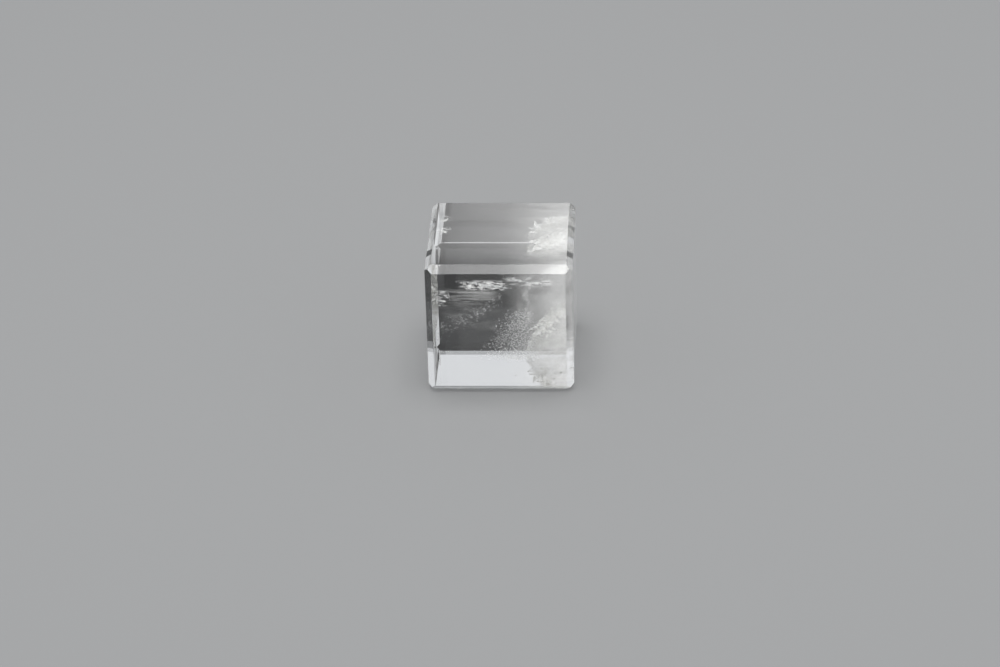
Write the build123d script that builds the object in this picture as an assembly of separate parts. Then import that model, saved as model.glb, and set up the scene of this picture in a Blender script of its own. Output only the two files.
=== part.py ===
from build123d import *

import math
import os

# A polished block of clear natural quartz, in millimetres. X runs left to right along the front face,
# Y runs from the front to the back, and Z is up. The origin is the centre of the resting face.
# The block is one crystal. Each cloud, veil and crack inside it is a separate closed solid that
# fills its own cavity in the clear crystal, so every kind of matter has a node of its own.

WIDTH = 25.0
DEPTH = 24.9
HEIGHT = 24.2

# Legs of the bevels. They were ground by hand, so they differ a little from edge to edge.
UPRIGHT_BEVELS = {"front_left": 1.1, "front_right": 1.2, "back_right": 1.15, "back_left": 1.1}
SIDE_BEVELS = {"bottom_left": 1.15, "bottom_right": 1.2, "top_right": 1.1, "top_left": 1.0}
CROSS_BEVELS = {"bottom_front": 1.2, "bottom_back": 1.1, "top_back": 1.2, "top_front": 1.2}

VEIL_THICKNESS = 0.3
BAND_THICKNESS = 0.15
CRACK_THICKNESS = 0.12
GRAIN_RADIUS = 0.16

FRONT = -DEPTH / 2
BACK = DEPTH / 2
RIGHT = WIDTH / 2
LEFT = -WIDTH / 2

MILKY_MARGIN = 0.8      # clear quartz left between the milky zone and the block's faces
MILKY_REACH = 5.2       # how far the milky zone comes forward from its back
MILKY_TOP = 10.4
MILKY_TOE = 3.7         # X of the milky zone's lowest left point
MILKY_SHOULDER = 9.3    # X where its slope meets its level top
MILKY_BULGE = 0.4       # how far the slope bows out, as broken quartz does

FLAKE_COUNT = 6
FIELD_REACH = 3.9       # radius of the lens of specks
FIELD_CURVE = 9.0       # radius of the lens's two faces


def bevelled_bar(plane, across, up, length, legs):
    """A bar through the origin. Its section is a rectangle whose corners are cut at 45 degrees.
    The legs go round anticlockwise from the low left corner."""
    right = across / 2
    top = up / 2
    low_left, low_right, top_right, top_left = legs
    corners = [
        (low_left - right, -top),
        (right - low_right, -top),
        (right, low_right - top),
        (right, top - top_right),
        (right - top_right, top),
        (top_left - right, top),
        (-right, top - top_left),
        (-right, low_left - top),
    ]
    return extrude(plane * make_face(Polyline(*corners, close=True)), length / 2, both=True)


def polished_block():
    """The crystal's outer shape. Three bars that cross leave bevels that meet in mitred corners."""
    upright = bevelled_bar(Plane.XY, WIDTH, DEPTH, HEIGHT, UPRIGHT_BEVELS.values())
    lengthwise = bevelled_bar(Plane.XZ, WIDTH, HEIGHT, DEPTH, SIDE_BEVELS.values())
    crosswise = bevelled_bar(Plane.YZ, DEPTH, HEIGHT, WIDTH, CROSS_BEVELS.values())
    return Pos(0, 0, HEIGHT / 2) * (upright & lengthwise & crosswise)


def placed(shape, x, y, z, tilt_x=0.0, tilt_y=0.0, turn_z=0.0):
    """Turn a shape about the axes, in degrees, and move its centre to a point in the block."""
    return Pos(x, y, z) * Rot(tilt_x, tilt_y, turn_z) * shape


def curved_sheet(length, height, radius):
    """A healed crack: a thin sheet, length along X and height along Z, bent about Z to a radius."""
    half_angle = math.degrees(length / radius) / 2
    centre = (0, -radius)
    start = 90 - half_angle
    inner = CenterArc(centre, radius - VEIL_THICKNESS / 2, start, 2 * half_angle)
    outer = CenterArc(centre, radius + VEIL_THICKNESS / 2, start, 2 * half_angle)
    section = make_face(Curve() + [inner, outer, Line(inner @ 0, outer @ 0), Line(inner @ 1, outer @ 1)])
    return Pos(0, 0, -height / 2) * extrude(section, height)


def crack_disc(radius):
    """A small flat crack with a bevelled rim, its face along X."""
    disc = Cylinder(radius, CRACK_THICKNESS)
    return Rot(0, 90, 0) * chamfer(disc.edges().filter_by(GeomType.CIRCLE), CRACK_THICKNESS / 3)


def milky_zone():
    """The cloudy wedge low down in the right back corner, with a shell-shaped sloping face."""
    right = RIGHT - MILKY_MARGIN
    toe = (MILKY_TOE, MILKY_MARGIN)
    shoulder = (MILKY_SHOULDER, MILKY_TOP)
    crown = ((toe[0] + shoulder[0]) / 2 - MILKY_BULGE, (toe[1] + shoulder[1]) / 2 + MILKY_BULGE)
    slope = ThreePointArc(toe, crown, shoulder)
    sides = Polyline(shoulder, (right, MILKY_TOP), (right, MILKY_MARGIN), toe)
    profile = Plane.XZ * make_face(Curve() + [slope, sides])
    return Pos(0, BACK - MILKY_MARGIN - MILKY_REACH, 0) * extrude(profile, -MILKY_REACH)


def cleavage_flakes():
    """The crumpled bright cracks just under the milky zone's sloping face."""
    slope = math.degrees(math.atan2(MILKY_TOP, MILKY_SHOULDER - MILKY_TOE))
    flakes = []
    for step in range(FLAKE_COUNT):
        along = (step + 0.5) / FLAKE_COUNT
        x = MILKY_TOE + 1.6 + along * (MILKY_SHOULDER - MILKY_TOE)
        y = BACK - 2.6 - 1.6 * (step % 2)
        z = MILKY_MARGIN + 1.0 + along * (MILKY_TOP - 2.8)
        swing = 12 * (step % 3)
        disc = crack_disc(0.75 + 0.01 * swing)
        flakes.append(placed(disc, x, y, z, swing, 90 - slope, 35 - 2 * swing))
    return Compound(children=flakes)


def upper_veil_left():
    """The long speckled streak under the top edge of the front face."""
    return placed(curved_sheet(6.6, 1.0, 30.0), -1.8, FRONT + 2.4, 20.05, 0, 8, 0)


def upper_veil_right():
    """The shorter streak that carries on from it, higher and further right."""
    return placed(curved_sheet(4.2, 0.9, 24.0), 3.1, FRONT + 1.8, 21.2, 0, 13, 0)


def diagonal_veil():
    """The thin wispy sheet that climbs from the lower left to the middle."""
    return placed(curved_sheet(11.0, 2.2, 40.0), -5.4, FRONT + 6.4, 13.1, 0, -27, 6)


def vertical_veil():
    """The faint upright sheet right of the middle."""
    return placed(curved_sheet(1.6, 7.0, 12.0), 4.6, FRONT + 3.5, 16.7, 0, 6, 25)


def speck_field():
    """The lens of tiny fluid specks low in the middle, in front of the milky zone."""
    offset = math.sqrt(FIELD_CURVE ** 2 - FIELD_REACH ** 2)
    lens = Pos(0, -offset, 0) * Sphere(FIELD_CURVE) & Pos(0, offset, 0) * Sphere(FIELD_CURVE)
    return placed(lens, 1.4, FRONT + 6.2, 9.2, 0, 0, 12)


def corner_feather():
    """The feathery crack beside the bevel of the back left upright edge."""
    return placed(curved_sheet(2.2, 3.2, 6.0), LEFT + 1.6, BACK - 2.2, 10.6, 8, 0, 45)


def glint_cracks():
    """Separate small cracks that flash like mirrors."""
    left_glint = placed(crack_disc(0.6), LEFT + 1.8, BACK - 2.4, 13.1, 0, 60, 25)
    low_glint = placed(crack_disc(0.65), 4.4, BACK - 7.4, 3.0, 0, 50, -30)
    right_glint = placed(crack_disc(0.5), RIGHT - 2.4, BACK - 1.6, 12.6, 0, 65, 20)
    return Compound(children=[left_glint, low_glint, right_glint])


def growth_bands():
    """Two level lines left by pauses in the crystal's growth."""
    upper = placed(Box(7.5, 2.2, BAND_THICKNESS), -5.6, FRONT + 3.4, 18.1, 0, -1, 4)
    lower = placed(Box(6.2, 2.6, BAND_THICKNESS), -6.1, FRONT + 3.4, 16.6, 0, -1, 4)
    return Compound(children=[upper, lower])


def mineral_grains():
    """Dark grains of another mineral, caught low down near the front."""
    places = [(2.5, 1.4, 2.5), (10.1, 1.5, 2.9), (10.8, 1.8, 3.6), (10.6, 1.4, 2.0), (9.4, 2.1, 2.4)]
    grains = [Pos(x, FRONT + inward, z) * Sphere(GRAIN_RADIUS) for x, inward, z in places]
    return Compound(children=grains)


def inclusions():
    """Every region inside the crystal, by name. The milky zone leaves room for its cracks."""
    regions = {
        "cleavage_flakes": cleavage_flakes(),
        "upper_veil_left": upper_veil_left(),
        "upper_veil_right": upper_veil_right(),
        "diagonal_veil": diagonal_veil(),
        "vertical_veil": vertical_veil(),
        "speck_field": speck_field(),
        "corner_feather": corner_feather(),
        "glint_cracks": glint_cracks(),
        "growth_bands": growth_bands(),
        "mineral_grains": mineral_grains(),
    }
    regions["milky_zone"] = milky_zone() - regions["cleavage_flakes"].solids()
    return regions


def crystal_body(regions):
    """The clear quartz: the block, less the space that each inclusion takes up."""
    body = polished_block()
    for region in regions.values():
        body = body - region.solids()
    return body


os.makedirs("parts", exist_ok=True)
nodes = inclusions()
nodes["crystal_body"] = crystal_body(nodes)
for name, shape in nodes.items():
    export_step(shape, f"parts/{name}.step")
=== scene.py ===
import math

import bmesh
import bpy
import numpy as np
from mathutils import Matrix, Quaternion, Vector, noise
from mathutils.bvhtree import BVHTree


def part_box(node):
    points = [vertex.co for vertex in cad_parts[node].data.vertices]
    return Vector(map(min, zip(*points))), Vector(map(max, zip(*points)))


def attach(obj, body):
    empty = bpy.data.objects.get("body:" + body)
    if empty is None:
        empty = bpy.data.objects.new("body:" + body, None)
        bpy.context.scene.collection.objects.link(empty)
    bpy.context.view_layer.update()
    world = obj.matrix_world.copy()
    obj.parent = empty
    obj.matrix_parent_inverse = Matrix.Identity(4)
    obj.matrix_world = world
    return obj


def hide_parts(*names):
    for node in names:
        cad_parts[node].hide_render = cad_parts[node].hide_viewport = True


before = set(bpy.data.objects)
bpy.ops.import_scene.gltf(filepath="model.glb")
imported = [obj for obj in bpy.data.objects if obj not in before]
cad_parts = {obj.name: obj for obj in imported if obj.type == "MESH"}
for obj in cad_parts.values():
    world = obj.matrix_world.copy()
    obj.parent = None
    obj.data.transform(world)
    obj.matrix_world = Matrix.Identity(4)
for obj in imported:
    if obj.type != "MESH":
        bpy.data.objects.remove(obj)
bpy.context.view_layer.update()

MM = 0.001

LOW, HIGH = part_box("crystal_body")
SIZE = HIGH - LOW
CENTRE = (LOW + HIGH) / 2


# ---------------------------------------------------------------- camera

LENS_MM = 122.9
CAMERA_DISTANCE = 590.3 * MM
LOOK_DOWN = math.radians(29.59)
LOOK_LEFT = math.radians(3.30)
CAMERA_ROLL = math.radians(-1.60)
AIM_LEFT = 0.48 * MM
AIM_BELOW = 6.64 * MM


def view_direction():
    return Vector((-math.sin(LOOK_LEFT) * math.cos(LOOK_DOWN),
                   math.cos(LOOK_LEFT) * math.cos(LOOK_DOWN),
                   -math.sin(LOOK_DOWN)))


def add_camera():
    """The camera looks down on the block from the front, a little from its right."""
    forward = view_direction()
    turn = forward.to_track_quat("-Z", "Y") @ Quaternion((0, 0, 1), CAMERA_ROLL)
    right = turn @ Vector((1, 0, 0))
    up = turn @ Vector((0, 1, 0))
    camera = bpy.data.objects.new("camera", bpy.data.cameras.new("camera"))
    camera.data.sensor_width = 36
    camera.data.lens = LENS_MM
    camera.data.clip_start = 1 * MM
    camera.data.clip_end = 20
    camera.rotation_mode = "QUATERNION"
    camera.rotation_quaternion = turn
    camera.location = CENTRE - right * AIM_LEFT - up * AIM_BELOW - forward * CAMERA_DISTANCE
    bpy.context.scene.collection.objects.link(camera)
    bpy.context.scene.camera = camera


# ---------------------------------------------------------------- materials

QUARTZ_IOR = 1.544
POLISH_WAVES = 0.02 * MM
FILM_WHITE = (0.96, 0.96, 0.95, 1)
HAZE_LEAST = 0.004
HAZE_PEAK = 0.12


def new_material(name):
    material = bpy.data.materials.new(name)
    material.use_nodes = True
    tree = material.node_tree
    return material, tree, tree.nodes["Principled BSDF"]


def add_node(tree, kind, inputs=None, **settings):
    node = tree.nodes.new(kind)
    for key, value in settings.items():
        setattr(node, key, value)
    for key, value in (inputs or {}).items():
        node.inputs[key].default_value = value
    return node


def coordinate(tree, kind="Object"):
    return add_node(tree, "ShaderNodeTexCoord").outputs[kind]


def split_axes(tree, source):
    """The X, Y and Z outputs of a coordinate."""
    split = add_node(tree, "ShaderNodeSeparateXYZ")
    tree.links.new(source, split.inputs["Vector"])
    return split.outputs


def mapped(tree, source, low, high, start=0.0, end=1.0, curve="LINEAR"):
    """Takes low to high onto start to end, and keeps to start and end outside that."""
    limits = {"From Min": low, "From Max": high, "To Min": start, "To Max": end}
    node = add_node(tree, "ShaderNodeMapRange", limits, interpolation_type=curve)
    tree.links.new(source, node.inputs["Value"])
    return node.outputs["Result"]


def clouds(tree, place, inputs):
    node = add_node(tree, "ShaderNodeTexNoise", inputs)
    tree.links.new(place, node.inputs["Vector"])
    return node.outputs["Fac"]


def product(tree, first, second):
    node = add_node(tree, "ShaderNodeMath", operation="MULTIPLY")
    tree.links.new(first, node.inputs[0])
    tree.links.new(second, node.inputs[1])
    return node.outputs["Value"]


def ramp(tree, source, stops):
    node = tree.nodes.new("ShaderNodeValToRGB")
    elements = node.color_ramp.elements
    while len(elements) < len(stops):
        elements.new(0.5)
    for element, (place, colour) in zip(elements, stops):
        element.position = place
        element.color = colour
    tree.links.new(source, node.inputs["Fac"])
    return node.outputs["Color"]


def quartz_material():
    """Polished quartz. Faint smears and a slow waviness from hand polishing lie on its faces."""
    material, tree, shader = new_material("clear_quartz")
    place = coordinate(tree)
    smear = clouds(tree, place, {"Scale": 160.0, "Detail": 4.0, "Distortion": 1.2})
    tint = ramp(tree, smear, [(0.3, (0.985, 0.988, 0.99, 1)), (0.7, (1.0, 1.0, 1.0, 1))])
    tree.links.new(tint, shader.inputs["Base Color"])
    tree.links.new(mapped(tree, smear, 0.5, 0.75, 0.0, 0.035), shader.inputs["Roughness"])
    wave = clouds(tree, place, {"Scale": 110.0, "Detail": 1.0})
    bump = add_node(tree, "ShaderNodeBump", {"Strength": 0.5, "Distance": POLISH_WAVES})
    tree.links.new(wave, bump.inputs["Height"])
    tree.links.new(bump.outputs["Normal"], shader.inputs["Normal"])
    shader.inputs["Transmission Weight"].default_value = 1.0
    shader.inputs["IOR"].default_value = QUARTZ_IOR
    return material


def cloudy_material(name, dark, light, roughness, metallic=0.0):
    """Mottled matter. Roughness varies with the mottling."""
    material, tree, shader = new_material(name)
    cloud = clouds(tree, coordinate(tree), {"Scale": 700.0, "Detail": 3.0})
    tree.links.new(ramp(tree, cloud, [(0.3, dark), (0.7, light)]), shader.inputs["Base Color"])
    tree.links.new(mapped(tree, cloud, 0.0, 1.0, roughness, roughness + 0.25), shader.inputs["Roughness"])
    shader.inputs["Metallic"].default_value = metallic
    return material


def faded(tree, source, margin):
    """From 0 at both ends of a 0 to 1 coordinate up to 1 beyond the margin."""
    rise = mapped(tree, source, 0.0, margin, curve="SMOOTHSTEP")
    fall = mapped(tree, source, 1.0, 1.0 - margin, curve="SMOOTHSTEP")
    return product(tree, rise, fall)


def stretched_noise(tree, scale, seed, detail, low, high):
    """Noise from 0 to 1 whose patches differ in size along X, Y and Z. Scale is in patches per metre."""
    mapping = add_node(tree, "ShaderNodeMapping", {"Location": (seed, 2 * seed, 3 * seed), "Scale": scale})
    tree.links.new(coordinate(tree), mapping.inputs["Vector"])
    cloud = clouds(tree, mapping.outputs["Vector"], {"Scale": 1.0, "Detail": detail, "Roughness": 0.6})
    return mapped(tree, cloud, low, high, curve="SMOOTHSTEP")


def finish_film(tree, shader, cover):
    """Matt white that is as dense as its cover, which is 0 for clear and 1 for solid."""
    tree.links.new(cover, shader.inputs["Alpha"])
    shader.inputs["Base Color"].default_value = FILM_WHITE
    shader.inputs["Roughness"].default_value = 0.9
    shader.inputs["Specular IOR Level"].default_value = 0.0


def wisp_material(name, peak, scale, seed, limits, margins, detail=4.0):
    """A smoke-like film of bubbles that fades out at its rim.

    Peak is its densest cover. Limits are the noise values that are clear and densest."""
    material, tree, shader = new_material(name)
    cover = stretched_noise(tree, scale, seed, detail, *limits)
    across = split_axes(tree, coordinate(tree, "Generated"))
    for axis, margin in zip("XZ", margins):
        cover = product(tree, cover, faded(tree, across[axis], margin))
    strength = add_node(tree, "ShaderNodeMath", {1: peak}, operation="MULTIPLY")
    tree.links.new(cover, strength.inputs[0])
    finish_film(tree, shader, strength.outputs["Value"])
    return material


def haze_material():
    """A thin cloudiness that thickens to the right."""
    material, tree, shader = new_material("haze_film")
    across = split_axes(tree, coordinate(tree))["X"]
    cover = mapped(tree, across, CENTRE.x - 1 * MM, HIGH.x, HAZE_LEAST, HAZE_PEAK, curve="SMOOTHSTEP")
    mottle = stretched_noise(tree, scale=(140, 140, 330), seed=3.0, detail=6.0, low=0.2, high=0.75)
    finish_film(tree, shader, product(tree, cover, mottle))
    return material


# ---------------------------------------------------------------- the crystal

EDGE_ROUND = 0.035 * MM
INCLUSIONS = bpy.data.collections.new("inclusions")


def add_piece(name, mesh, material, slot, nodes):
    """A visible piece that stands in for the CAD nodes it names. A film names none."""
    mesh.materials.append(material)
    piece = bpy.data.objects.new(name, mesh)
    bpy.context.scene.collection.objects.link(piece)
    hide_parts(*nodes)
    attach(piece, "root")
    if slot != "clear_quartz":
        INCLUSIONS.objects.link(piece)
    return piece


def outer_shell(source):
    """A copy of a CAD mesh, less the walls of the cavities inside it."""
    shell = bmesh.new()
    shell.from_mesh(source.data)
    bmesh.ops.remove_doubles(shell, verts=shell.verts, dist=1e-6)
    start = max(shell.verts, key=lambda vertex: vertex.co.z)
    outside = {start}
    queue = [start]
    while queue:
        vertex = queue.pop()
        for edge in vertex.link_edges:
            other = edge.other_vert(vertex)
            if other not in outside:
                outside.add(other)
                queue.append(other)
    inner = [vertex for vertex in shell.verts if vertex not in outside]
    bmesh.ops.delete(shell, geom=inner, context="VERTS")
    bmesh.ops.dissolve_limit(shell, angle_limit=math.radians(1), verts=shell.verts, edges=shell.edges)
    return shell


def build_crystal(material):
    shell = outer_shell(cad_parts["crystal_body"])
    bmesh.ops.bevel(shell, geom=shell.edges[:], offset=EDGE_ROUND, segments=2, profile=0.5, affect="EDGES")
    mesh = bpy.data.meshes.new("crystal")
    shell.to_mesh(mesh)
    shell.free()
    return add_piece("crystal", mesh, material, "clear_quartz", ["crystal_body"])


# ---------------------------------------------------------------- inclusions

RANDOM = np.random.default_rng(11)
GRAIN_CLEARANCE = 0.1 * MM
CLOUD_CLEARANCE = 0.12 * MM
BEVEL_CUT = 1.1 * MM
SHEET_THICKNESS = 0.02 * MM

OCTAHEDRON = (np.array([(1, 0, 0), (-1, 0, 0), (0, 1, 0), (0, -1, 0), (0, 0, 1), (0, 0, -1)], float),
              [(0, 2, 4), (2, 1, 4), (1, 3, 4), (3, 0, 4), (2, 0, 5), (1, 2, 5), (3, 1, 5), (0, 3, 5)])
TETRAHEDRON = (np.array([(1, 1, 1), (1, -1, -1), (-1, 1, -1), (-1, -1, 1)], float) / math.sqrt(3),
               [(0, 1, 2), (0, 3, 1), (0, 2, 3), (1, 3, 2)])


def mesh_of_grains(name, template, places, axes, sizes):
    """One mesh of many closed grains. Each has its own place, three axes and three half sizes."""
    corners, faces = template
    count = len(places)
    wobble = RANDOM.uniform(0.65, 1.35, (count, len(corners), 1))
    local = corners[None] * wobble * sizes[:, None, :]
    points = np.einsum("nij,nvj->nvi", axes, local) + places[:, None, :]
    index = np.array(faces)[None] + (np.arange(count) * len(corners))[:, None, None]
    mesh = bpy.data.meshes.new(name)
    mesh.from_pydata(points.reshape(-1, 3).tolist(), [], index.reshape(-1, 3).tolist())
    return mesh


def random_axes(count):
    """Random turns, as matrices whose columns are a grain's axes."""
    quarter = RANDOM.normal(size=(count, 4))
    quarter /= np.linalg.norm(quarter, axis=1)[:, None]
    w, x, y, z = quarter.T
    return np.stack([
        np.stack([1 - 2 * (y * y + z * z), 2 * (x * y - z * w), 2 * (x * z + y * w)], -1),
        np.stack([2 * (x * y + z * w), 1 - 2 * (x * x + z * z), 2 * (y * z - x * w)], -1),
        np.stack([2 * (x * z - y * w), 2 * (y * z + x * w), 1 - 2 * (x * x + y * y)], -1)], 1)


def field(points, scale, seed):
    """A smooth random value, about -1 to 1, at each point. Scale is the size of its patches."""
    shift = Vector((seed * 7.3, seed * 3.1, seed * 5.7))
    return np.array([noise.noise(Vector(point) / scale + shift) for point in points])


def inside_node(node, count):
    """Random points in a CAD solid."""
    tree = BVHTree.FromObject(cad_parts[node], bpy.context.evaluated_depsgraph_get())
    low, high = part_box(node)
    up = Vector((0, 0, 1))
    found = []
    while len(found) < count:
        for x, y, z in RANDOM.uniform(low, high, (count, 3)):
            place = Vector((x, y, z))
            hit, normal, _, _ = tree.ray_cast(place, up)
            if hit is not None and normal.z > 0:
                found.append((x, y, z))
    return np.array(found[:count])


def keep_inside(points, margin):
    """Drops the points that lie nearer than margin to the block's faces or to its bevels."""
    reach = np.array(SIZE) / 2 - margin
    away = np.abs(points - np.array(CENTRE))
    keep = (away < reach).all(1)
    for first, second in ((0, 1), (0, 2), (1, 2)):
        limit = reach[first] + reach[second] - BEVEL_CUT
        keep &= away[:, first] + away[:, second] < limit
    return points[keep]


def grain_sizes(count, small, large):
    """Half sizes in metres. Most grains are small and a few are large."""
    return (small + (large - small) * RANDOM.random(count) ** 3) * MM


def patchy(points, scale, seed, share, soft=0.25):
    """Keeps about a share of the points, in patches. Soft blurs the patches' edges."""
    value = field(points, scale * MM, seed) + RANDOM.uniform(-soft, soft, len(points))
    return points[value > np.quantile(value, 1 - share)]


def drifted(points, scale, seed, reach):
    """Moves points along with a smooth random flow, so that no edge of the cloud stays straight."""
    flow = np.stack([field(points, scale * MM, seed + step) for step in range(3)], 1)
    return points + flow * reach * MM


def level_axes(count, lean):
    """Turns that leave each grain's first axis nearly level along X."""
    axes = random_axes(count)
    angle = RANDOM.normal(0, lean, count)
    along = np.stack([np.cos(angle), 0 * angle, np.sin(angle)], 1)
    across = np.cross(axes[:, :, 2], along)
    across /= np.linalg.norm(across, axis=1)[:, None]
    return np.stack([along, across, np.cross(along, across)], 2)


def add_specks(name, nodes, points, small, large, form, material, slot="veil_specks", lean=0.25):
    """A veil or field of specks. Form is a speck's half length, depth and height, times its size."""
    points = keep_inside(points, GRAIN_CLEARANCE)
    count = len(points)
    sizes = grain_sizes(count, small, large)[:, None] * np.array(form)
    mesh = mesh_of_grains(name, OCTAHEDRON, points, level_axes(count, lean), sizes)
    return add_piece(name, mesh, material, slot, nodes)


def streak(node, count, before, after, spread, fall):
    """Points along a lumpy veil that falls to the right.

    Before and after say how far it frays past its ends, as shares of its length. Spread and fall
    are in millimetres."""
    low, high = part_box(node)
    along = np.concatenate([RANDOM.triangular(-0.05, 0.45, 1.05, count),
                            RANDOM.uniform(-before, 1 + after, count // 8)])
    step = along * (high.x - low.x)
    lumps = field(np.stack([step, 0 * step, 0 * step], 1), 0.7 * MM, spread * 90)
    body = np.clip(1.1 - 1.6 * np.abs(along - 0.45), 0.3, 1) * (1 + 0.9 * lumps)
    wander = field(np.stack([step, 0 * step, 0 * step], 1), 2.2 * MM, spread * 50) * 0.3 * MM
    middle = (low.z + high.z) / 2 + fall * MM * (0.5 - along) + wander
    z = middle + RANDOM.normal(0, spread * MM, len(along)) * body
    y = (low.y + high.y) / 2 + RANDOM.normal(0, 0.2 * MM, len(along))
    return patchy(np.stack([low.x + step, y, z], 1), 0.28, 3, 0.45, 0.2)


def sheet_parts(centre, width, height, bulge, turn, seed, first):
    """Corners and faces of a thin closed sheet that bulges softly. It stands facing -Y before its turn."""
    steps, bulge_width = 22, 5 * MM
    shift = Vector((seed, 3 * seed, 2 * seed))
    front = []
    for row in range(steps + 1):
        for column in range(steps + 1):
            x = (column / steps - 0.5) * width
            z = (row / steps - 0.5) * height
            lift = noise.noise(Vector((x, 0, z)) / bulge_width + shift) * bulge
            front.append(Vector((x, lift, z)))
    spin = Matrix.Rotation(turn, 3, "Z")
    corners = [spin @ point + centre for point in front]
    corners += [spin @ (point + Vector((0, SHEET_THICKNESS, 0))) + centre for point in front]
    across, back = steps + 1, len(front)
    faces = []
    for row in range(steps):
        for column in range(steps):
            start = row * across + column
            quad = (start, start + 1, start + 1 + across, start + across)
            faces.append(quad)
            faces.append(tuple(reversed([corner + back for corner in quad])))
    rim = list(range(steps))
    rim += [row * across + steps for row in range(steps)]
    rim += [steps * across + column for column in range(steps, 0, -1)]
    rim += [row * across for row in range(steps, 0, -1)]
    for corner, after in zip(rim, rim[1:] + rim[:1]):
        faces.append((after, corner, corner + back, after + back))
    return corners, [tuple(first + corner for corner in face) for face in faces]


def sheets_mesh(name, sheets):
    """One mesh of several sheets, each with its centre, width, height, bulge and turn."""
    points, faces = [], []
    for index, (centre, width, height, bulge, turn) in enumerate(sheets):
        seed = 1.7 * index + 0.3
        more, more_faces = sheet_parts(Vector(centre), width, height, bulge, turn, seed, len(points))
        points += more
        faces += more_faces
    mesh = bpy.data.meshes.new(name)
    mesh.from_pydata(points, [], faces)
    for face in mesh.polygons:
        face.use_smooth = True
    return mesh


HAZE_TURNS = (5, -8, 9, -10, 8, -5)
HAZE_MARGIN = 0.9 * MM
HAZE_START = 5 * MM
HAZE_DEPTH_MARGIN = 2.4 * MM


def build_haze(material):
    """Faint films one behind another, from the front to the back. Each is turned by its own degrees."""
    left = LOW.x + HAZE_START
    right = HIGH.x - HAZE_MARGIN
    spacing = (SIZE.y - 2 * HAZE_DEPTH_MARGIN) / (len(HAZE_TURNS) - 1)
    sheets = []
    for step, turn in enumerate(HAZE_TURNS):
        centre = ((left + right) / 2, LOW.y + HAZE_DEPTH_MARGIN + step * spacing, CENTRE.z)
        sheets.append((centre, right - left, SIZE.z - 2 * HAZE_MARGIN, 0.6 * MM, math.radians(turn)))
    return add_piece("haze_films", sheets_mesh("haze_films", sheets), material, "veil_specks", [])


def film(name, node, grow, material):
    """One film that fills a CAD node's box, grown to the left, right, below and above in millimetres."""
    low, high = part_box(node)
    left, right, below, above = grow
    x0, x1 = low.x - left * MM, high.x + right * MM
    z0, z1 = low.z - below * MM, high.z + above * MM
    centre = ((x0 + x1) / 2, (low.y + high.y) / 2, (z0 + z1) / 2)
    mesh = sheets_mesh(name, [(centre, x1 - x0, z1 - z0, 0.4 * MM, 0.0)])
    return add_piece(name, mesh, material, "veil_specks", [])


def build_films():
    """Soft films around the specks of each veil."""
    film("band_film", "growth_bands", (1.0, 2.5, 0.9, 1.1), wisp_material(
        "band_film", peak=0.2, scale=(70, 200, 1500), seed=1.0, limits=(0.42, 0.72), margins=(0.25, 0.3),
        detail=2.0))
    film("left_streak_film", "upper_veil_left", (2.0, 0.5, 0.3, 0.3), wisp_material(
        "left_streak_film", peak=0.9, scale=(900, 900, 2600), seed=2.0, limits=(0.42, 0.62),
        margins=(0.3, 0.45)))
    film("right_streak_film", "upper_veil_right", (0.3, 5.0, 0.6, 0.2), wisp_material(
        "right_streak_film", peak=0.6, scale=(500, 500, 2600), seed=4.0, limits=(0.45, 0.68),
        margins=(0.3, 0.4)))
    film("diagonal_film", "diagonal_veil", (0.5, 1.5, 0.5, 1.0), wisp_material(
        "diagonal_film", peak=0.07, scale=(300, 300, 700), seed=5.0, limits=(0.4, 0.75),
        margins=(0.35, 0.45)))
    film("vertical_film", "vertical_veil", (1.0, 1.0, 2.0, 0.0), wisp_material(
        "vertical_film", peak=0.16, scale=(900, 900, 300), seed=6.0, limits=(0.42, 0.75),
        margins=(0.45, 0.3)))
    film("corner_film", "corner_feather", (0.2, 0.8, 0.3, 0.8), wisp_material(
        "corner_film", peak=0.6, scale=(900, 900, 2200), seed=8.0, limits=(0.42, 0.68), margins=(0.4, 0.4)))
    film("speck_film", "speck_field", (2.0, 2.5, 1.0, 1.0), wisp_material(
        "speck_film", peak=0.08, scale=(450, 450, 900), seed=7.0, limits=(0.4, 0.75), margins=(0.4, 0.45),
        detail=6.0))


def build_milky_cloud(material):
    """Fine grains that fill the milky zone, with a ragged front."""
    points = drifted(inside_node("milky_zone", 38000), scale=1.6, seed=1, reach=0.4)
    low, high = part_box("milky_zone")
    eaten = (1.3 + 2.6 * field(points * (1, 0, 1), 1.5 * MM, 8)) * MM
    points = points[points[:, 1] - low.y > eaten]
    points = patchy(points, scale=1.6, seed=4, share=0.85, soft=0.8)
    points = keep_inside(points, CLOUD_CLEARANCE)
    count = len(points)
    sizes = grain_sizes(count, 0.03, 0.075)[:, None] * np.ones((1, 3))
    mesh = mesh_of_grains("milky_cloud", TETRAHEDRON, points, random_axes(count), sizes)
    return add_piece("milky_cloud", mesh, material, "milky_quartz", ["milky_zone"])


def build_veils(material):
    points = streak("upper_veil_left", 2600, before=0.35, after=0.08, spread=0.16, fall=0.9)
    add_specks("left_streak", ["upper_veil_left"], points, 0.02, 0.075, (1.5, 0.6, 0.9), material)
    points = streak("upper_veil_right", 1500, before=0.1, after=0.5, spread=0.17, fall=0.9)
    add_specks("right_streak", ["upper_veil_right"], points, 0.018, 0.07, (1.6, 0.6, 0.8), material)


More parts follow.
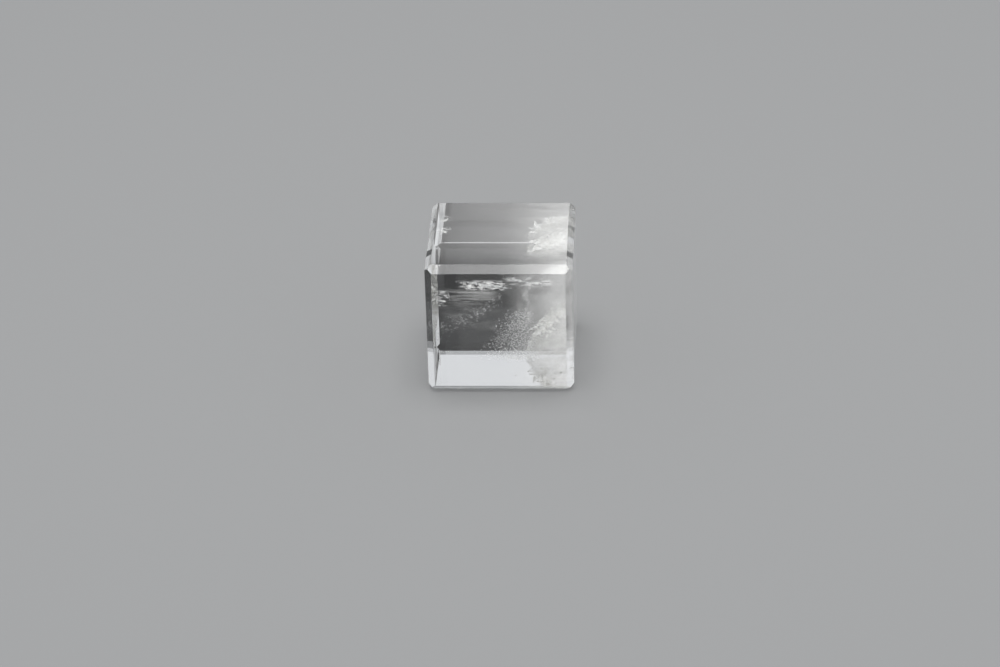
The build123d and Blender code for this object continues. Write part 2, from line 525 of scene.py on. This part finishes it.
def build_speck_field(material):
    """Short level dashes. They crowd low on the right and thin out upwards and to the left."""
    low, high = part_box("speck_field")
    count = 5600
    up = RANDOM.random(count) ** 1.7
    spread = 1 - 0.55 * up
    x = low.x + (0.62 + 0.12 * up) * (high.x - low.x) + RANDOM.normal(0, 2.5 * MM, count) * spread
    z = low.z - 0.6 * MM + up * (high.z - low.z) * 1.15
    y = (low.y + high.y) / 2 + RANDOM.normal(0, 1.1 * MM, count)
    points = patchy(np.stack([x, y, z], 1), 0.8, 7, 0.6, 0.8)
    add_specks("speck_field_grains", ["speck_field"], points, 0.025, 0.085, (1.8, 0.7, 0.6), material)


def build_diagonal_veil(material):
    low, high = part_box("diagonal_veil")
    along = RANDOM.uniform(-0.05, 1.05, 5200)
    x = low.x + along * (high.x - low.x)
    climb = 0.12 + 0.5 * along + 0.35 * along ** 3
    z = low.z + climb * (high.z - low.z) + RANDOM.normal(0, 0.75 * MM, len(along))
    y = (low.y + high.y) / 2 + RANDOM.normal(0, 0.4 * MM, len(along))
    points = patchy(np.stack([x, y, z], 1), 0.55, 9, 0.18, 0.2)
    count = 90
    stray = np.stack([RANDOM.uniform(low.x - 0.5 * MM, low.x + 5 * MM, count),
                      RANDOM.uniform(low.y, high.y, count),
                      low.z - RANDOM.uniform(0, 4.5, count) * MM], 1)
    points = np.concatenate([points, patchy(stray, 1.2, 15, 0.4)])
    add_specks("diagonal_wisps", ["diagonal_veil"], points, 0.016, 0.05, (1.9, 0.6, 0.6), material)


def build_vertical_veil(material):
    low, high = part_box("vertical_veil")
    count = 3200
    along = RANDOM.uniform(0, 1.1, count)
    z = high.z - along * (high.z - low.z)
    x = (low.x + high.x) / 2 + (0.4 - 0.8 * along) * MM + RANDOM.normal(0, 0.5 * MM, count)
    y = (low.y + high.y) / 2 + RANDOM.normal(0, 0.5 * MM, count)
    stray = RANDOM.uniform((3 * MM, LOW.y + 2 * MM, 8 * MM), (HIGH.x, CENTRE.y, HIGH.z), (420, 3))
    points = np.concatenate([patchy(np.stack([x, y, z], 1), 1.1, 10, 0.4), patchy(stray, 1.5, 16, 0.4)])
    add_specks("vertical_wisps", ["vertical_veil"], points, 0.015, 0.045, (1.2, 0.6, 1.1), material)


def build_growth_bands(material):
    """Level ribbons, longer than they are deep, where the crystal paused in its growth."""
    low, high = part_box("growth_bands")
    bands = []
    for height, count in ((high.z - 0.1 * MM, 6), (low.z + 0.1 * MM, 6), ((low.z + high.z) / 2, 2)):
        x = RANDOM.uniform(low.x + 1.5 * MM, high.x - 1.5 * MM, count)
        y = RANDOM.uniform(low.y, high.y, count)
        z = height + RANDOM.normal(0, 0.12 * MM, count)
        bands.append(np.stack([x, y, z], 1))
    points = np.concatenate(bands)
    add_specks("growth_lines", ["growth_bands"], points, 0.05, 0.09, (20, 0.3, 0.14), material, lean=0.008)


def build_feather(material):
    """Ragged shell-shaped ripples of specks that fan out from the crack's foot."""
    low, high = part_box("corner_feather")
    foot = Vector(((low.x + high.x) / 2 - 0.4 * MM, (low.y + high.y) / 2 - 0.2 * MM, low.z + 0.2 * MM))
    ripples = []
    for ripple in range(8):
        count = 60 + 22 * ripple
        radius = (0.5 + 0.36 * ripple) * MM
        angle = RANDOM.uniform(0.45, 1.9, count)
        place = np.stack([np.cos(angle), np.sin(angle), 0 * angle + ripple], 1)
        reach = radius * (1 + 0.45 * field(place, 0.6, 30)) + RANDOM.normal(0, 0.035 * MM, count)
        side = reach * np.cos(angle) * 0.75
        away = 0.5 * side + RANDOM.normal(0, 0.1 * MM, count)
        ripples.append(np.stack([side, away, reach * np.sin(angle)], 1) + np.array(foot))
    points = patchy(np.concatenate(ripples), 0.5, 12, 0.4, 0.5)
    add_specks("corner_ripples", ["corner_feather"], points, 0.018, 0.06, (1.6, 0.6, 0.7), material, lean=0.6)


def crumpled_flake(length, width, seed):
    """A thin closed flake with a ragged rim, buckled like foil. It lies level at the origin."""
    rings, spokes = 3, 11
    shift = Vector((seed, 2 * seed, 0.5 * seed))
    top = [(0.0, 0.0)]
    for ring in range(1, rings + 1):
        for spoke in range(spokes):
            angle = 2 * math.pi * spoke / spokes
            rag = 0.95 + 0.75 * noise.noise(Vector((math.cos(angle), math.sin(angle), 0)) * 3.1 + shift)
            reach = rag * ring / rings
            top.append((length * reach * math.cos(angle), width * reach * math.sin(angle)))
    buckled = []
    for x, y in top:
        lift = noise.noise(Vector((x, y, 0)) / (0.3 * MM) + shift) * 0.5 * width
        buckled.append((x, y, lift))
    points = buckled + [(x, y, z - SHEET_THICKNESS) for x, y, z in buckled]
    count = len(buckled)
    faces = []
    for spoke in range(spokes):
        after = (spoke + 1) % spokes
        faces.append((0, 1 + spoke, 1 + after))
        for ring in range(rings - 1):
            first = 1 + ring * spokes
            second = first + spokes
            faces.append((first + spoke, second + spoke, second + after, first + after))
    under = [tuple(reversed([corner + count for corner in face])) for face in faces]
    rim = 1 + (rings - 1) * spokes
    wall = []
    for spoke in range(spokes):
        after = (spoke + 1) % spokes
        wall.append((rim + spoke, rim + spoke + count, rim + after + count, rim + after))
    return np.array(points), faces + under + wall


def mesh_of_flakes(name, flakes):
    """One mesh of several flakes, each with its place, its normal and its half sizes.

    Heading is the turn of a flake's long side from +X."""
    points, faces = [], []
    for seed, (place, normal, length, width, heading) in enumerate(flakes):
        local, local_faces = crumpled_flake(length, width, 3.7 * seed)
        tilt = Vector((0, 0, 1)).rotation_difference(Vector(normal))
        turn = np.array(tilt.to_matrix() @ Matrix.Rotation(heading, 3, "Z"))
        first = len(points)
        points += (local @ turn.T + np.array(place)).tolist()
        faces += [tuple(corner + first for corner in face) for face in local_faces]
    mesh = bpy.data.meshes.new(name)
    mesh.from_pydata(points, [], faces)
    return mesh


FLAKE_COUNT = 84
FLAKE_CLEARANCE = 1.2 * MM


def build_cleavage_flakes(material):
    """Foil-like cracks crowded along the milky zone's sloping face. Every sixth one faces the front."""
    low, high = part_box("cleavage_flakes")
    flakes = []
    for step in range(FLAKE_COUNT):
        along = 0.08 + 0.67 * RANDOM.random()
        place = Vector((low.x + along * (high.x - low.x), 0, low.z + along * (high.z - low.z)))
        place.x += RANDOM.normal(0, 0.7) * MM
        place.z += (1.7 - 1.1 * along + RANDOM.normal(0, 0.4)) * MM
        place.y = RANDOM.uniform(low.y + 0.4 * MM, high.y + 0.6 * MM)
        place.x = min(place.x, HIGH.x - FLAKE_CLEARANCE)
        place.y = min(place.y, HIGH.y - FLAKE_CLEARANCE)
        facing_front = step % 6 == 0
        normal = Vector((-0.6, -0.7, 0.3)) if facing_front else Vector((-0.1, -0.2, 1.0))
        normal += Vector(RANDOM.normal(0, 0.4 if facing_front else 0.75, 3))
        length = RANDOM.uniform(0.25, 1.0) * MM
        flakes.append((place, normal, length, length * RANDOM.uniform(0.25, 0.6), 2.4 * step))
    return add_piece("cleavage_foils", mesh_of_flakes("cleavage_foils", flakes), material, "crack_face",
                     ["cleavage_flakes"])


def build_glints(material):
    """Three small level cracks that flash."""
    low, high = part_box("glint_cracks")
    level = Vector((0.0, 0.1, 1.0))
    spots = [
        (Vector((low.x + 0.7 * MM, high.y - 0.95 * MM, high.z - 3.2 * MM)), level, 0.8 * MM, 0.35 * MM, -0.9),
        (Vector((4.4 * MM, high.y - 3.1 * MM, low.z + 0.5 * MM)), level, 0.55 * MM, 0.22 * MM, 0.3),
        (Vector((high.x - 1.2 * MM, high.y - 1.3 * MM, high.z - 0.9 * MM)), level, 0.2 * MM, 0.12 * MM, 0.0),
    ]
    return add_piece("glint_foils", mesh_of_flakes("glint_foils", spots), material, "crack_face",
                     ["glint_cracks"])


def build_mineral_grains(material):
    """Dark grains, crowded to the right, and a single one at the left."""
    low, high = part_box("mineral_grains")
    count = 9
    points = RANDOM.uniform(low, high, (count, 3))
    points[:, 0] = high.x - RANDOM.random(count) ** 2 * 2.5 * MM
    points[0] = (low.x + 0.16 * MM, low.y + 0.2 * MM, (low.z + high.z) / 2)
    add_specks("mineral_specks", ["mineral_grains"], points, 0.06, 0.16, (1.5, 0.8, 0.8), material,
               "mineral_grain")


# ---------------------------------------------------------------- the stage

FLOOR_Z = -0.06 * MM


def add_disc(name, radius, height, material):
    bpy.ops.mesh.primitive_circle_add(vertices=96, radius=radius, fill_type="NGON", location=(0, 0, height))
    disc = bpy.context.object
    disc.name = name
    disc.data.materials.append(material)
    return disc


def radial_material(name, inner, outer, start, end):
    """A matt disc whose grey changes from inner to outer between two radii."""
    material, tree, shader = new_material(name)
    length = add_node(tree, "ShaderNodeVectorMath", operation="LENGTH")
    tree.links.new(coordinate(tree), length.inputs[0])
    spread = mapped(tree, length.outputs["Value"], start, end)
    colour = ramp(tree, spread, [(0.0, (inner, inner, inner, 1)), (1.0, (outer, outer, outer, 1))])
    tree.links.new(colour, shader.inputs["Base Color"])
    shader.inputs["Roughness"].default_value = 1.0
    shader.inputs["Specular IOR Level"].default_value = 0.0
    return material


FLOOR_GREY = 0.42
FLOOR_RADIUS = 2.0
# Painted shade: the dark grey of the disc under the block, seen only through the crystal.
PAINTED_SHADE_GREY = 0.035
PAINTED_SHADE_RADIUS = 0.4


def add_floor():
    """A pale floor, and under the block a dark disc of painted shade that shows only through the crystal,
    where it darkens the floor seen through the block.
    """
    paper = radial_material("floor_paper", FLOOR_GREY, FLOOR_GREY * 0.97, 0.1, FLOOR_RADIUS)
    add_disc("floor", FLOOR_RADIUS, FLOOR_Z, paper)
    # Painted shade: a dark disc that fades out to the floor's grey, seen only through the crystal as shade on
    # the floor behind and under the block.
    shade = radial_material("painted_shade_disc", PAINTED_SHADE_GREY, FLOOR_GREY, 0.06, PAINTED_SHADE_RADIUS)
    painted_shade_disc = add_disc("painted_shade_disc", PAINTED_SHADE_RADIUS, FLOOR_Z / 2, shade)
    painted_shade_disc.visible_camera = False
    painted_shade_disc.visible_diffuse = False
    painted_shade_disc.visible_shadow = False
    painted_shade_disc.visible_glossy = False


def add_sheen_ring(name, radius, middle, depth, dim, bright, upper=1.0):
    """A glowing ring that only mirrors see. It lays a soft sheen on the block, brighter to the right.

    Upper is the share of its glow that its upper part gives."""
    bpy.ops.mesh.primitive_cylinder_add(vertices=64, radius=radius, depth=depth, end_fill_type="NOTHING",
                                        location=(0, 0, middle))
    ring = bpy.context.object
    ring.name = name
    material = bpy.data.materials.new(name)
    material.use_nodes = True
    tree = material.node_tree
    tree.nodes.clear()
    place = split_axes(tree, coordinate(tree))
    across = mapped(tree, place["X"], LOW.x - 5 * MM, HIGH.x - 5 * MM, dim, bright)
    upward = mapped(tree, place["Z"], -12 * MM, -8 * MM, 1.0, upper)
    glow = add_node(tree, "ShaderNodeEmission")
    tree.links.new(product(tree, across, upward), glow.inputs["Strength"])
    output = add_node(tree, "ShaderNodeOutputMaterial")
    tree.links.new(glow.outputs["Emission"], output.inputs["Surface"])
    ring.data.materials.append(material)
    ring.visible_camera = False
    ring.visible_diffuse = False
    ring.visible_transmission = False
    ring.visible_shadow = False


def add_panel(name, place, target, size, radiance):
    """A soft light: a rectangle at a place, turned towards a target."""
    width, height = size
    light = bpy.data.lights.new(name, "AREA")
    light.shape = "RECTANGLE"
    light.size = width
    light.size_y = height
    light.energy = radiance * width * height * math.pi
    panel = bpy.data.objects.new(name, light)
    panel.location = place
    panel.rotation_euler = (Vector(target) - Vector(place)).to_track_quat("-Z", "Y").to_euler()
    panel.visible_camera = False
    bpy.context.scene.collection.objects.link(panel)
    return panel


def add_inner_panel(name, place, size, radiance):
    """A soft light for the inclusions alone. The crystal's faces don't shade or show it."""
    panel = add_panel(name, place, (0, 0, 0), size, radiance)
    panel.light_linking.receiver_collection = INCLUSIONS
    panel.light_linking.blocker_collection = INCLUSIONS
    panel.visible_transmission = False


BACK_GREYS = [(0.0, 0.2), (0.2, 0.45), (0.4, 0.72), (0.6, 0.68), (0.8, 0.5), (1.0, 0.5)]
FRONT_GREYS = [(0.0, 0.4), (0.25, 0.7), (0.55, 0.7), (0.8, 0.44), (1.0, 0.44)]


def add_world():
    """Pale grey walls all round. Each wall's stops are a height, from 0 at the horizon, and its grey."""
    world = bpy.data.worlds.new("studio")
    world.use_nodes = True
    tree = world.node_tree
    place = split_axes(tree, coordinate(tree, "Generated"))
    tints = []
    for stops in (BACK_GREYS, FRONT_GREYS):
        colours = [(height, (0.975 * grey, grey, 1.025 * grey, 1)) for height, grey in stops]
        tints.append(ramp(tree, place["Z"], colours))
    mix = add_node(tree, "ShaderNodeMix", data_type="RGBA")
    tree.links.new(mapped(tree, place["Y"], 0.3, -0.3), mix.inputs["Factor"])
    tree.links.new(tints[0], mix.inputs[6])
    tree.links.new(tints[1], mix.inputs[7])
    tree.links.new(mix.outputs[2], tree.nodes["Background"].inputs["Color"])
    tree.nodes["Background"].inputs["Strength"].default_value = 1.0
    bpy.context.scene.world = world


def light_stage():
    """Light from all round, a sheen for the block's faces, and light of their own for its inclusions."""
    add_world()
    overhead = add_panel("overhead", (0, 0, 0.7), (0, 0, 0), (0.4, 0.4), 4.0)
    overhead.visible_glossy = False
    overhead.visible_transmission = False
    add_inner_panel("inner_top", (-0.1, 0.1, 0.5), (0.5, 0.5), 0.75)
    add_inner_panel("inner_front", (0.1, -0.55, 0.2), (0.6, 0.4), 3.4)
    add_inner_panel("inner_back", (-0.1, 0.55, 0.2), (0.6, 0.4), 1.0)
    add_inner_panel("inner_under", (0.1, -0.2, -0.5), (0.5, 0.5), 1.8)
    add_sheen_ring("low_sheen", radius=0.112, middle=0.098, depth=0.07, dim=1.6, bright=3.3, upper=0.5)
    add_sheen_ring("high_sheen", radius=0.07, middle=0.125, depth=0.05, dim=5.0, bright=6.5)


def render_settings():
    """Enough bounces for light to cross the crystal many times."""
    scene = bpy.context.scene
    scene.view_settings.view_transform = "Standard"
    scene.cycles.max_bounces = 24
    scene.cycles.transmission_bounces = 24
    scene.cycles.glossy_bounces = 16
    scene.cycles.transparent_max_bounces = 48
    scene.cycles.diffuse_bounces = 12


add_camera()
add_floor()
light_stage()
render_settings()
build_crystal(quartz_material())
MILKY = cloudy_material("milky_quartz", (0.63, 0.63, 0.61, 1), (0.86, 0.86, 0.83, 1), 0.6)
SPECKS = cloudy_material("veil_specks", (0.74, 0.75, 0.75, 1), (0.9, 0.9, 0.9, 1), 0.5)
FOIL = cloudy_material("crack_face", (0.95, 0.95, 0.92, 1), (0.99, 0.99, 0.97, 1), 0.15, 0.25)
GRAIN = cloudy_material("mineral_grain", (0.1, 0.1, 0.09, 1), (0.24, 0.22, 0.19, 1), 0.5)
build_milky_cloud(MILKY)
build_haze(haze_material())
build_films()
build_veils(SPECKS)
build_speck_field(SPECKS)
build_diagonal_veil(SPECKS)
build_vertical_veil(SPECKS)
build_growth_bands(SPECKS)
build_feather(SPECKS)
build_cleavage_flakes(FOIL)
build_glints(FOIL)
build_mineral_grains(GRAIN)
